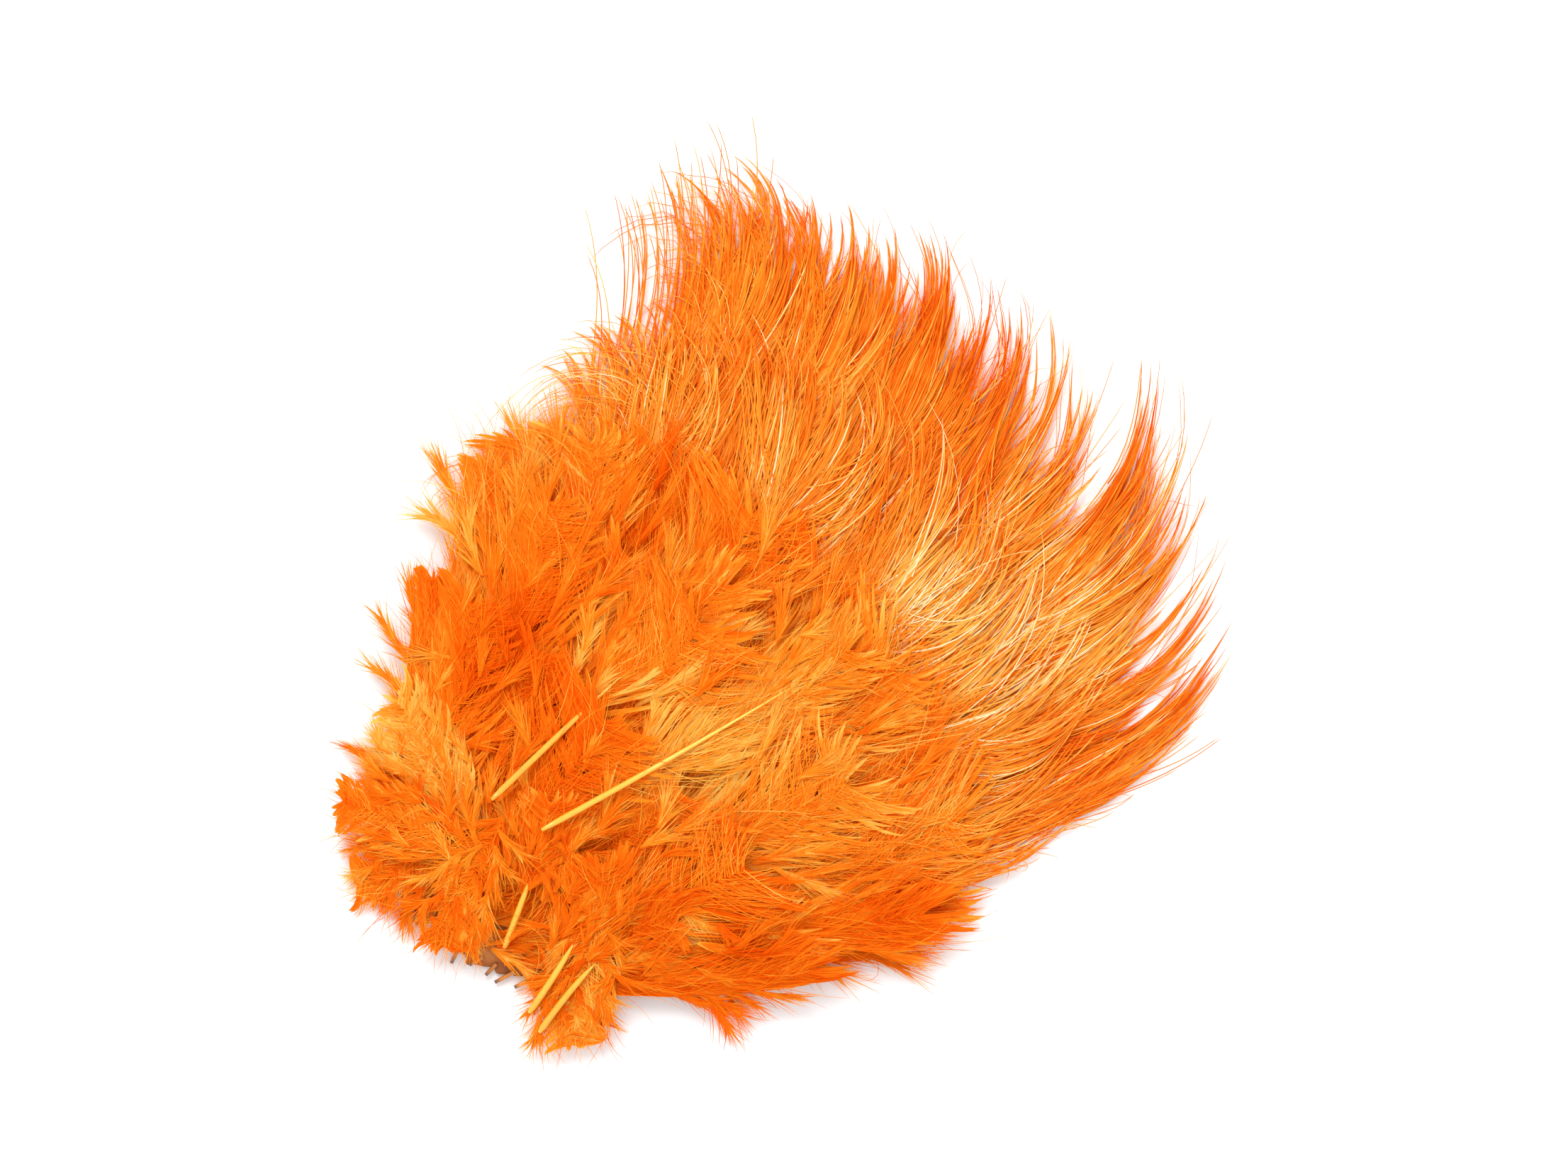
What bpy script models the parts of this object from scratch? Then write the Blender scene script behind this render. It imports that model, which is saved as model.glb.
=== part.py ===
"""A pheasant rump patch: a small piece of hide with rows of dyed feathers growing from it.

It lies on a surface with its hide down. Metres, +Z up, +Y from the quill ends to the feather tips,
+X to the right as seen from above, and the origin under the middle of its box.

The feathers lie like shingles. Each row grows from the hide in front of the row before it and covers
that row's bases, so the long fringe is at the bottom of the pile and the short down is on top. Every
layer of feathers lies between two height surfaces, and the next layer lies on the upper one.
"""

import math
import random
from collections import namedtuple

import bmesh
import bpy
from mathutils import Vector

MM = 0.001

# The flat fan that every row follows. A share is a part of the length: 0 is at the quill ends.
FAN_LENGTH = 120 * MM
HALF_FRONT = 26 * MM
HALF_BODY = 49 * MM
HALF_FRINGE = 55 * MM
OPENS_FROM, OPENS_OVER = 0.12, 0.27  # where the fan starts to open to its body's width
FRINGE_FROM = 0.5  # where it starts to widen again, to the fringe's width
LEAN, LEAN_OVER = 3 * MM, 0.4  # how far the body sits to the right of the quill ends
HALF_SWING = math.radians(75)  # how far round its arc the tips go on each side
BASE_SPREAD = 0.58  # how far the bases keep to the fan's width
BASE_RISE = 1.5 * MM  # how much further back the bases grow at the sides
BEND_AT = 0.74  # where along a feather its bow pulls hardest
BEND_SOONER = 0.12  # how much sooner that is at the right side, and later at the left
BOW_MORE = 0.1  # how much more the feathers bow at the right side, and less at the left

HIDE_THICKNESS = 1.2 * MM
HIDE_CLEARANCE = 0.2 * MM
HIDE_FRONT, HIDE_BACK = 0.0, 0.40  # shares
HIDE_HALF_WIDTHS = (14 * MM, 17 * MM, 20 * MM, 24 * MM, 28 * MM, 24 * MM)  # from front to back
HIDE_CORNERS = 5 * MM  # how far its front and back corners are cut back

# The pile.
SAG_OVER = 19 * MM  # how far past the hide's edge the feathers come down to the surface
SAG_FROM = HIDE_BACK + 0.02  # share
GAP = 0.2  # share of a layer's thickness left free, half below the feather and half above
RISE_OVER = 0.24  # share of the length over which a row rises to its full thickness
RISE_BEFORE = 0.3  # part of that rise that is in front of the bases
FALL_AFTER, FALL_OVER = 0.05, 0.26  # shares past a row's tips over which its layer thins out again
TOP_FALL_OVER = 0.12  # the same for what lies on top of every row, which drapes more closely
SIDE_THIN, WIDEST = 0.5, 1.2  # how much of the thickness is gone at the sides, and where that levels off
TIP_THIN, TIP_THIN_FROM = 0.4, 0.4  # and at the fringe
TIP_LIFT, LIFT_FROM, LIFT_OVER = 3 * MM, 0.84, 0.25  # how far the fringe stands off the surface
THINNEST = 0.06  # share of a layer's thickness that is left everywhere
EDGE_SHARE = 0.4  # a feather's thickness at its edge, as a share of its middle's

# A feather. Its length runs from 0 at the base to 1 at the tip.
BARE = {"hair": 0.06, "down": 0.0}  # how much of the length is bare quill
BARE_WIDTH, VANE_OPENS_OVER = 0.2, 0.25  # the width there, and the length over which the vane opens
OVERLAP = 0.95  # half a feather's width, as a share of the space between two
STATIONS = {"hair": (0, 0.08, 0.2, 0.36, 0.52, 0.68), "down": (0, 0.1, 0.26, 0.44, 0.62)}
CLOSING = {"hair": (0.8, 0.45), "down": (0.7,)}  # a lock's width at its own rings, past the last station
LOCKS = (-2 / 3, 0, 2 / 3)  # their places across the vane
TIPS_VARY = (-0.05, 0.03)

# A row: base and tip are shares, and drop is how far the side tips fall short of the middle one. The
# feathers swing out to the right by about half of bow and then curl left. At the sides the row's
# thickness begins further forward by droop. reach gives the length of the feathers across the fan.
Row = namedtuple("Row", "name kind count base tip drop reach bow droop thickness")

FRINGE_REACH = (
    (-1.2, 1.04),
    (-0.95, 1.12),
    (-0.75, 1.12),
    (-0.6, 1.02),
    (-0.4, 0.96),
    (-0.22, 1.05),
    (-0.1, 1.04),
    (0.0, 0.96),
    (0.12, 1.0),
    (0.2, 1.02),
    (0.3, 1.21),
    (0.42, 1.18),
    (0.52, 1.0),
    (0.62, 1.05),
    (0.75, 0.95),
    (0.86, 1.03),
    (1.2, 0.95),
)
EVEN_REACH = ((-1.3, 1.0), (1.3, 1.0))
ROWS = (
    Row("fringe_feather", "hair", 14, 0.32, 1.0, 28 * MM, FRINGE_REACH, 13 * MM, -10 * MM, 1.3 * MM),
    Row("middle_feather", "hair", 10, 0.25, 0.82, 32 * MM, EVEN_REACH, 10 * MM, -6 * MM, 1.4 * MM),
    Row("back_down_feather", "down", 9, 0.17, 0.64, 30 * MM, EVEN_REACH, 6 * MM, 0, 1.9 * MM),
    Row("mid_down_feather", "down", 8, 0.10, 0.50, 12 * MM, EVEN_REACH, 2 * MM, 6 * MM, 1.9 * MM),
    Row("front_down_feather", "down", 8, 0.03, 0.34, 8 * MM, EVEN_REACH, 2 * MM, 6 * MM, 2.0 * MM),
)

# Loose feathers on top: where the quill ends, where the vane begins and its tip, all in the fan's
# millimetres, then the vane's width, its bow and which of the top layers it lies in.
Loose = namedtuple("Loose", "name kind root vane_from tip width bow layer")
LOOSE = (
    Loose("front_tuft_1", "down", (-8, 13), (-10, 15), (-28, 20), 12, 2, 0),
    Loose("front_tuft_2", "down", (-8, 11), (-10, 10), (-23, 4), 11, 1, 1),
    Loose("front_tuft_3", "down", (-9, 9), (-10, 7), (-13, -3), 11, -1, 0),
    Loose("front_tuft_4", "down", (-3, 12), (-2, 10), (2, 0), 11, 1, 1),
    Loose("front_tuft_5", "down", (8, 6), (4, 11), (-2, 26), 12, 1, 0),
    Loose("front_tuft_6", "down", (17, 2), (16, 9), (9, 25), 12, 1, 1),
    Loose("front_tuft_7", "down", (20, 1), (18, 8), (23, 27), 13, 1, 0),
    Loose("front_tuft_8", "down", (18, 12), (19, 10), (25, 3), 11, 1, 1),
    Loose("top_feather_1", "down", (0, 22), (5, 40), (13, 72), 15, 1, 2),
    Loose("top_feather_2", "down", (-8, 20), (-6.5, 39), (-6, 66), 14, -1, 2),
)
TOP_THICKNESS = (1.8 * MM, 1.8 * MM, 1.8 * MM)
TUFTS_END = 0.12  # share behind which the tufts' layers thin out
QUILL_WIDTH = 1.2 * MM
LOOSE_STATIONS = 4  # on the vane, after the one at the quill's end
LOOSE_STATION_STEP = 0.15  # as a part of the vane's length
LOOSE_CLOSING = (0.7,)
LOOSE_ENDS = (0.9, 1.0, 0.93)

COLOURS = {
    "hair": (0.93, 0.24, 0.022),
    "down": (0.94, 0.19, 0.012),
    "hide": (0.62, 0.22, 0.05),
}


def clear_scene():
    for old in list(bpy.data.objects):
        bpy.data.objects.remove(old)


def smooth(t):
    t = min(1.0, max(0.0, t))
    return t * t * (3 - 2 * t)


def half_width(share):
    opened = smooth((share - OPENS_FROM) / OPENS_OVER)
    at_fringe = max(0.0, (share - FRINGE_FROM) / (1 - FRINGE_FROM))
    return HALF_FRONT + (HALF_BODY - HALF_FRONT) * opened + (HALF_FRINGE - HALF_BODY) * at_fringe


def middle(share):
    return LEAN * smooth(share / LEAN_OVER)


def loft(x, y):
    """Share of the full thickness here: the pile thins towards its sides and its fringe."""
    share = y / FAN_LENGTH
    across = min(WIDEST, abs(x - middle(share)) / half_width(share))
    to_tips = smooth((share - TIP_THIN_FROM) / (1 - TIP_THIN_FROM))
    return (1 - SIDE_THIN * across**2) * (1 - TIP_THIN * to_tips)


def layer_thickness(layer, x, y, fall_over=FALL_OVER):
    """A row's layer is thick over its feathers, and thin in front of their bases and past their tips."""
    thickness, base, droop, end, drop = LAYERS[layer]
    out = (x / HALF_BODY) ** 2
    rise = smooth(((y + droop * out) / FAN_LENGTH - base) / RISE_OVER + RISE_BEFORE)
    fall = smooth(((y + drop * out) / FAN_LENGTH - end - FALL_AFTER) / fall_over)
    return loft(x, y) * thickness * (THINNEST + (1 - THINNEST) * rise * (1 - fall))


def underside(layer, x, y):
    """Height of a layer's underside: the hide, then every lower layer."""
    share = y / FAN_LENGTH
    past_side = smooth((abs(x - middle(share)) - max(HIDE_HALF_WIDTHS)) / SAG_OVER)
    past_back = smooth((y - SAG_FROM * FAN_LENGTH) / SAG_OVER)
    on_hide = (1 - past_back) * (1 - past_side)
    lift = TIP_LIFT * smooth((share - LIFT_FROM) / LIFT_OVER)
    fall_over = TOP_FALL_OVER if layer == len(LAYERS) - 1 else FALL_OVER
    piled = sum(layer_thickness(lower, x, y, fall_over) for lower in range(layer))
    return (HIDE_THICKNESS + HIDE_CLEARANCE) * on_hide + lift + piled


def bent(start, end, bow, s, bend_at=BEND_AT):
    """A point on the curve from start to end whose control point lies to its right by bow."""
    along = end - start
    right = Vector((along.y, -along.x)).normalized()
    control = start + bend_at * along + right * bow
    return (1 - s) ** 2 * start + 2 * s * (1 - s) * control + s * s * end


def row_curve(row, across, s):
    """The way that a feather of this row would take from its base to its tip."""
    base_x = middle(row.base) + across * BASE_SPREAD * half_width(row.base)
    base = Vector((base_x, FAN_LENGTH * row.base + BASE_RISE * across**2))
    angle = across * HALF_SWING
    tip_share = row.tip - row.drop * (1 - math.cos(angle)) / FAN_LENGTH
    tip = Vector((middle(tip_share) + math.sin(angle) * half_width(tip_share), FAN_LENGTH * tip_share))
    return bent(base, tip, row.bow * (1 + BOW_MORE * across), s, BEND_AT - BEND_SOONER * across)


def interpolate(pairs, at):
    for (x0, y0), (x1, y1) in zip(pairs, pairs[1:]):
        if at <= x1:
            return y0 + (y1 - y0) * (at - x0) / (x1 - x0)
    return pairs[-1][1]


class Blade:
    """A feather's solid: strips side by side that share their edges along the vane and part into locks.

    place(across, s) gives a point in the plane. stations are the places s of the shared rings, closing
    gives the width of each lock's own rings, and ends gives the place of each lock's tip.
    """

    def __init__(self, place, layer, stations, closing, ends):
        self.place, self.layer = place, layer
        self.stations, self.closing, self.ends = stations, closing, ends
        self.mesh = bmesh.new()
        self.known = {}

    def vertex(self, key, across, s, rise):
        """rise is 0 on the underside and 1 on the crest."""
        if key not in self.known:
            x, y = self.place(across, s)
            thickness = layer_thickness(self.layer, x, y)
            level = GAP / 2 + (1 - GAP) * rise
            self.known[key] = self.mesh.verts.new((x, y, underside(self.layer, x, y) + level * thickness))
        return self.known[key]

    def edges(self, strip):
        width = 2 / len(self.ends)
        return -1 + strip * width, -1 + (strip + 1) * width

    def ring(self, strip, step):
        """Five corners at one station: left and right underside, left edge, crest, right edge."""
        left, right = self.edges(strip)
        centre = (left + right) / 2
        shared = len(self.stations)
        if step < shared:
            s = self.stations[step]
            keys = [("vane", k, step) for k in (strip, strip + 1)]
        else:
            closed = (step - shared + 1) / (len(self.closing) + 1)
            s = self.stations[-1] + (self.ends[strip] - self.stations[-1]) * closed
            half = (right - left) / 2 * self.closing[step - shared]
            left, right = centre - half, centre + half
            keys = [("left", strip, step), ("right", strip, step)]
        return (
            self.vertex((*keys[0], "low"), left, s, 0),
            self.vertex((*keys[1], "low"), right, s, 0),
            self.vertex((*keys[0], "edge"), left, s, EDGE_SHARE),
            self.vertex(("crest", strip, step), centre, s, 1),
            self.vertex((*keys[1], "edge"), right, s, EDGE_SHARE),
        )

    def add_strip(self, strip):
        first, last = strip == 0, strip == len(self.ends) - 1
        rings = [self.ring(strip, k) for k in range(len(self.stations) + len(self.closing))]
        face = self.mesh.faces.new
        face([rings[0][k] for k in (0, 1, 4, 3, 2)])
        for step, (here, there) in enumerate(zip(rings, rings[1:])):
            parted = step >= len(self.stations) - 1
            face((here[2], here[3], there[3], there[2]))
            face((here[3], here[4], there[4], there[3]))
            face((here[1], here[0], there[0], there[1]))
            if first or parted:
                face((here[0], here[2], there[2], there[0]))
            if last or parted:
                face((here[4], here[1], there[1], there[4]))
        left, right = self.edges(strip)
        tip = self.vertex(("tip", strip), (left + right) / 2, self.ends[strip], EDGE_SHARE)
        for a, b in ((2, 3), (3, 4), (1, 0), (0, 2), (4, 1)):
            face((rings[-1][a], rings[-1][b], tip))

    def build(self, name, kind):
        for strip in range(len(self.ends)):
            self.add_strip(strip)
        bmesh.ops.recalc_face_normals(self.mesh, faces=self.mesh.faces)
        return add_object(name, self.mesh, kind)


def add_object(name, mesh, kind):
    data = bpy.data.meshes.new(name)
    mesh.to_mesh(data)
    mesh.free()
    made = bpy.data.objects.new(name, data)
    bpy.context.scene.collection.objects.link(made)
    data.materials.append(dyed(kind))
    return made


def dyed(kind):
    found = bpy.data.materials.get(kind)
    if found:
        return found
    made = bpy.data.materials.new(kind)
    made.use_nodes = True
    shader = made.node_tree.nodes["Principled BSDF"]
    shader.inputs["Base Color"].default_value = (*COLOURS[kind], 1)
    shader.inputs["Roughness"].default_value = 0.6
    shader.inputs["Metallic"].default_value = 0
    return made


def add_row(row, first_layer, rng):
    """A row's feathers, every second one in the layer above, so that neighbours overlap."""
    spacing = 2 / row.count
    half = OVERLAP * spacing
    for k in range(row.count):
        centre = -1 + (k + 0.5) * spacing

        def place(across, s, centre=centre):
            opened = smooth((s - BARE[row.kind]) / VANE_OPENS_OVER)
            width = BARE_WIDTH + (1 - BARE_WIDTH) * opened
            return row_curve(row, centre + half * width * across, s)

        reaches = [interpolate(row.reach, centre + half * lock) for lock in LOCKS]
        ends = [reach * (1 + rng.uniform(*TIPS_VARY)) for reach in reaches]
        blade = Blade(place, first_layer + k % 2, STATIONS[row.kind], CLOSING[row.kind], ends)
        blade.build(f"{row.name}_{k + 1:02d}", row.kind)


def add_loose(loose, first_layer):
    """A feather on top of the pile: a bare quill, then a vane of three locks."""
    root, vane_from, tip = (Vector(point) * MM for point in (loose.root, loose.vane_from, loose.tip))
    bare = (vane_from - root).length / ((vane_from - root).length + (tip - vane_from).length)

    def place(across, s):
        spine = bent(root, tip, loose.bow * MM, s)
        ahead = (bent(root, tip, loose.bow * MM, s + 0.01) - spine).normalized()
        opened = smooth((s - bare) / VANE_OPENS_OVER)
        width = QUILL_WIDTH + (loose.width * MM - QUILL_WIDTH) * opened
        return spine + Vector((ahead.y, -ahead.x)) * width / 2 * across

    step = LOOSE_STATION_STEP * (1 - bare)
    stations = [0] + [bare + k * step for k in range(LOOSE_STATIONS + 1)]
    blade = Blade(place, first_layer + loose.layer, stations, LOOSE_CLOSING, LOOSE_ENDS)
    blade.build(loose.name, loose.kind)


def add_hide():
    """The hide: a thin flat piece that widens towards its back and has rounded corners."""
    steps_across, steps_along = 8, len(HIDE_HALF_WIDTHS) - 1
    mesh = bmesh.new()
    sheets = []
    for z in (0, HIDE_THICKNESS):
        rows = []
        for j, half in enumerate(HIDE_HALF_WIDTHS):
            share = HIDE_FRONT + (HIDE_BACK - HIDE_FRONT) * j / steps_along
            corner = {0: HIDE_CORNERS, steps_along: -HIDE_CORNERS}.get(j, 0)
            row = []
            for i in range(steps_across + 1):
                across = 2 * i / steps_across - 1
                y = FAN_LENGTH * share + corner * across**4
                row.append(mesh.verts.new((middle(share) + across * half, y, z)))
            rows.append(row)
        sheets.append(rows)
    low, high = sheets
    for j in range(steps_along):
        for i in range(steps_across):
            for rows in sheets:
                mesh.faces.new((rows[j][i], rows[j][i + 1], rows[j + 1][i + 1], rows[j + 1][i]))
    rim = [(0, i) for i in range(steps_across)] + [(j, steps_across) for j in range(steps_along)]
    rim += [(steps_along, steps_across - i) for i in range(steps_across)]
    rim += [(steps_along - j, 0) for j in range(steps_along)]
    for (j0, i0), (j1, i1) in zip(rim, rim[1:] + rim[:1]):
        mesh.faces.new((low[j0][i0], low[j1][i1], high[j1][i1], high[j0][i0]))
    bmesh.ops.recalc_face_normals(mesh, faces=mesh.faces)
    return add_object("hide", mesh, "hide")


def centre_on_floor():
    """Moves everything so that the origin is on the surface, under the middle of the whole box."""
    points = [v.co for made in bpy.data.objects for v in made.data.vertices]
    centre = [(min(p[k] for p in points) + max(p[k] for p in points)) / 2 for k in (0, 1)]
    for made in bpy.data.objects:
        for vertex in made.data.vertices:
            vertex.co.x -= centre[0]
            vertex.co.y -= centre[1]


clear_scene()
LAYERS = [(row.thickness, row.base, row.droop, row.tip, row.drop) for row in ROWS for _ in range(2)]
LAYERS += [(thickness, -1, 0, TUFTS_END, 0) for thickness in TOP_THICKNESS[:2]]
LAYERS += [(TOP_THICKNESS[2], -1, 0, 2, 0)]
shape_rng = random.Random(5)
add_hide()
for number, feathers in enumerate(ROWS):
    add_row(feathers, 2 * number, shape_rng)
for feather in LOOSE:
    add_loose(feather, 2 * len(ROWS))
centre_on_floor()
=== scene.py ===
"""The looks of a dyed pheasant rump patch: the barbs of every feather, the hide, the light and the camera.

Each feather's solid is replaced by a mesh of its own barbs. The barbs follow the same fan and the same
layers as the solids, so those dimensions are repeated here, in millimetres. Positions are worked out in
the fan's own coordinates: y runs from the quill ends to the tips, and share is y as a part of the length.

On a feather, s runs along it from 0 at the root to 1 at the solid's tip, across runs over its width from
-1 to 1, and level from 0 at the underside of its layer to 1 at the top. On a barb, t runs from 0 to 1.
"""

import math
from collections import namedtuple

import bpy
import numpy as np
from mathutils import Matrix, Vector


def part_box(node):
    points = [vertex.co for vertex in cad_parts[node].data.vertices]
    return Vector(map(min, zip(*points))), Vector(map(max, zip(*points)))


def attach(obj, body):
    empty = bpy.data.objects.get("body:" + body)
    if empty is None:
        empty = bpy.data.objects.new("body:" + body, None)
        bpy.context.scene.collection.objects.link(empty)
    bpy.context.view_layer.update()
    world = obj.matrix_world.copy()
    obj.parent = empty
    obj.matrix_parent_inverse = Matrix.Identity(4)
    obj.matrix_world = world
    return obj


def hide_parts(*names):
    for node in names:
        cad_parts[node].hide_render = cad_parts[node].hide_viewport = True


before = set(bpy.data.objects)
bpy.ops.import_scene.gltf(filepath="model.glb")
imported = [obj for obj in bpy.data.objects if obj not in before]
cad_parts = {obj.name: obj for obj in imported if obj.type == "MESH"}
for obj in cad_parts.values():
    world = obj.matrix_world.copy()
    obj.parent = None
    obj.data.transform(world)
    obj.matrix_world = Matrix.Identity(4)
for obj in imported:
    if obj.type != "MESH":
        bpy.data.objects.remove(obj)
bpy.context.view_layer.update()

MM = 0.001

# The fan, as in the source of the solids.
FAN_LENGTH = 120
HALF_FRONT = 26
HALF_BODY = 49
HALF_FRINGE = 55
OPENS_FROM, OPENS_OVER = 0.12, 0.27
FRINGE_FROM = 0.5
LEAN, LEAN_OVER = 3, 0.4
HALF_SWING = math.radians(75)
BASE_SPREAD = 0.58
BASE_RISE = 1.5
BEND_AT = 0.74
BEND_SOONER = 0.12
BOW_MORE = 0.1

HIDE_THICKNESS = 1.2
HIDE_CLEARANCE = 0.2
HIDE_FRONT, HIDE_BACK = 0.0, 0.40
HIDE_HALF_WIDTHS = (14, 17, 20, 24, 28, 24)
HIDE_WIDEST = 0.32  # share
HIDE_CORNERS = 5

# The pile.
SAG_OVER, SAG_FROM = 19, HIDE_BACK + 0.02
RISE_OVER, RISE_BEFORE = 0.24, 0.3
FALL_AFTER, FALL_OVER = 0.05, 0.26
TOP_FALL_OVER = 0.12
SIDE_THIN, WIDEST = 0.5, 1.2
TIP_THIN, TIP_THIN_FROM = 0.4, 0.4
TIP_LIFT, LIFT_FROM, LIFT_OVER = 3, 0.84, 0.25
THINNEST = 0.06

# The rows of feathers, from the lowest. base and tip are shares. drop and droop are how much nearer the
# quill ends a row's tips and start lie at the sides, and reach is the s at which hairs end across the
# fan. From BARE on a feather widens.
BARE = {"hair": 0.06, "down": 0.0}
BARE_WIDTH, VANE_OPENS_OVER = 0.2, 0.25
OVERLAP = 0.95
Row = namedtuple("Row", "name kind count base tip drop reach bow droop thickness tone")
FRINGE_REACH = (
    (-1.2, 1.04), (-0.95, 1.12), (-0.75, 1.12), (-0.6, 1.02), (-0.4, 0.96), (-0.22, 1.05),
    (-0.1, 1.04), (0.0, 0.96), (0.12, 1.0), (0.2, 1.02), (0.3, 1.21), (0.42, 1.18),
    (0.52, 1.0), (0.62, 1.05), (0.75, 0.95), (0.86, 1.03), (1.2, 0.95),
)
EVEN_REACH = ((-1.3, 1.0), (1.3, 1.0))
ROWS = (
    Row("fringe_feather", "hair", 14, 0.32, 1.0, 28, FRINGE_REACH, 13, -10, 1.3, 0.55),
    Row("middle_feather", "hair", 10, 0.25, 0.82, 32, EVEN_REACH, 10, -6, 1.4, 0.61),
    Row("back_down_feather", "down", 9, 0.17, 0.64, 30, EVEN_REACH, 6, 0, 1.9, 0.645),
    Row("mid_down_feather", "down", 8, 0.10, 0.50, 12, EVEN_REACH, 2, 6, 1.9, 0.675),
    Row("front_down_feather", "down", 8, 0.03, 0.34, 8, EVEN_REACH, 2, 6, 2.0, 0.63),
)

# Shafts. bare is how much of the way to the vane is free of down, shown the part of the vane over which
# the shaft is drawn, and taper how late it thins. Levels and tones run along it.
Shaft = namedtuple("Shaft", "bare radius shown levels tones taper")
IN_HAIR = Shaft(0, 0.22, 0.75, (0.3, 0.9, 0.6), (0.7, 0.75), 1)
IN_DOWN = Shaft(0, 0.2, 0.7, (0.2, 0.4, 0.2), (0.7, 0.7), 1)
COVERED = Shaft(-2, 0.15, 0.1, (0.1, 0.1, 0.1), (0.5, 0.5), 1)
STUB = Shaft(0.9, 0.5, 0.12, (0.9, 0.9, 0.2), (0.5, 0.6), 5)
HIGH_STUB = Shaft(0.9, 0.5, 0.12, (1.9, 2.1, 1.6), (0.46, 0.56), 5)
LONG_BARE = Shaft(0.4, 0.5, 0.48, (1.1, 1.2, 1.1), (0.54, 0.64), 1.4)
SHORT_BARE = Shaft(0.6, 0.48, 0.02, (1.1, 1.2, 0.7), (0.46, 0.5), 3)
LEVELS_AT = (0, 0.7, 1)
STIFF_FROM = 0.4  # thicker shafts bend evenly
SHAFT_THINS = 0.85
ROOT_RADIUS, ROOT_WIDENS = 0.6, 6
SHAFT_STATIONS, TUBE_SIDES = 16, 8
QUILL_PAINTED_HIGHLIGHT = 0.26  # painted highlight: how much paler a loose quill's upper side is drawn

# The loose feathers lie on the rows, in three layers. Places are in the fan, and tone is added.
Loose = namedtuple("Loose", "name root vane_from tip width bow layer shaft tone")
LOOSE = (
    Loose("front_tuft_1", (-8, 13), (-10, 15), (-28, 20), 12, 2, 0, COVERED, 0.12),
    Loose("front_tuft_2", (-8, 11), (-10, 10), (-23, 4), 11, 1, 1, COVERED, 0.02),
    Loose("front_tuft_3", (-9, 9), (-10, 7), (-13, -3), 11, -1, 0, COVERED, 0.02),
    Loose("front_tuft_4", (-3, 12), (-2, 10), (2, 0), 11, 1, 1, COVERED, 0.0),
    Loose("front_tuft_5", (8, 6), (4, 11), (-2, 26), 12, 1, 0, STUB, 0.0),
    Loose("front_tuft_6", (17, 2), (16, 9), (9, 25), 12, 3, 1, STUB, -0.02),
    Loose("front_tuft_7", (20, 1), (18, 8), (23, 27), 13, -6, 0, HIGH_STUB, 0.0),
    Loose("front_tuft_8", (18, 12), (19, 10), (25, 3), 11, 1, 1, COVERED, 0.02),
    Loose("top_feather_1", (0, 22), (5, 40), (13, 72), 15, 1, 2, LONG_BARE, 0.14),
    Loose("top_feather_2", (-8, 20), (-6.5, 39), (-6, 66), 14, -1, 2, SHORT_BARE, 0.08),
)
LOOSE_THICKNESS = 1.8
TUFTS_END = 0.12
FLUFF_WIDTH = 0.5  # where its down begins, as a share of its full width
FLUFF_LAST = 0.93  # s of the last barbs' roots
# How far the loose feathers lie in the down below them. The top ones sag further between two rows' tips.
TUFT_SUNK, TOP_SUNK = 0.8, 3.0
HOLLOW_AT, HOLLOW_OVER, HOLLOW = 50, 9, 2.6

# Each layer's thickness, base, droop, tip and drop. A row's feathers lie in two layers in turn.
LAYERS = [(row.thickness, row.base, row.droop, row.tip, row.drop) for row in ROWS for _ in range(2)]
LAYERS += [(LOOSE_THICKNESS, -1, 0, end, 0) for end in (TUFTS_END, TUFTS_END, 2)]
FIRST_LOOSE, TOP_LAYER = 2 * len(ROWS), len(LAYERS) - 1

# How light a barb is drawn, from 0, a burnt red, to 1, nearly white: mostly dye, with painted light and shade
# where noted.
# Zones add to tones around a place; the pale zones at (14, 85) and (24, 88) are partly lighter dye and partly
# painted highlights on glossy hair.
LOOSE_TONE = 0.62
FEATHERS_VARY = 0.03
Zone = namedtuple("Zone", "x y across along tone")
ZONES = [Zone(*values) for values in (
    (-8, 113, 9, 8, -0.16), (14, 85, 6, 8, 0.22), (24, 88, 9, 9, 0.13), (34, 96, 10, 15, 0.16),
    (20, 104, 7, 9, 0.08), (-12, 93, 5, 14, 0.08), (44, 82, 7, 5, -0.12), (-22, 40, 5, 12, -0.22),
    (-20, 57, 3, 7, -0.10), (0, 50, 9, 14, 0.07), (13, 53, 6, 10, 0.08), (7, 43, 5, 12, 0.16),
    (25, 60, 8, 8, 0.08), (45, 50, 9, 7, -0.14), (29, 30, 7, 5, -0.12), (25, 27, 3, 3, 0.24),
    (-28, 27, 5, 6, 0.12), (-40, 64, 8, 14, 0.08), (-20, 10, 6, 6, -0.10), (-26, 14, 3, 3, 0.15),
    (-14, -3, 4, 2, 0.15), (-18, 15, 7, 8, 0.10), (4, 18, 9, 6, -0.04),
)]
ZONES_REACH_DOWN = 0.6  # the level below which zones fade
# Painted shade: barbs lower in their layer are drawn darker and higher ones paler, by this much over the
# layer, with no change at EVEN_LEVEL.
PILE_DEPTH_PAINTED_SHADE, EVEN_LEVEL = 0.12, 0.6
PALER_IN_ZONES = 4  # how much more often a pale zone has odd pale barbs, there painted highlights

# How far tones differ between groups and barbs, how much paler towards the tips, and the odd pale and dark
# barbs.
# The odd pale barbs are partly painted highlights on glossy strands, the odd dark ones partly painted shade
# in the gaps between strands.
Spread = namedtuple("Spread", "group barb tip pale dark pale_share dark_share")
HAIR_TONES = Spread(0.05, 0.085, 0.02, 0.26, 0.24, 0.07, 0.10)
DOWN_TONES = Spread(0.085, 0.05, 0.14, 0.12, 0.12, 0.09, 0.06)

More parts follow.
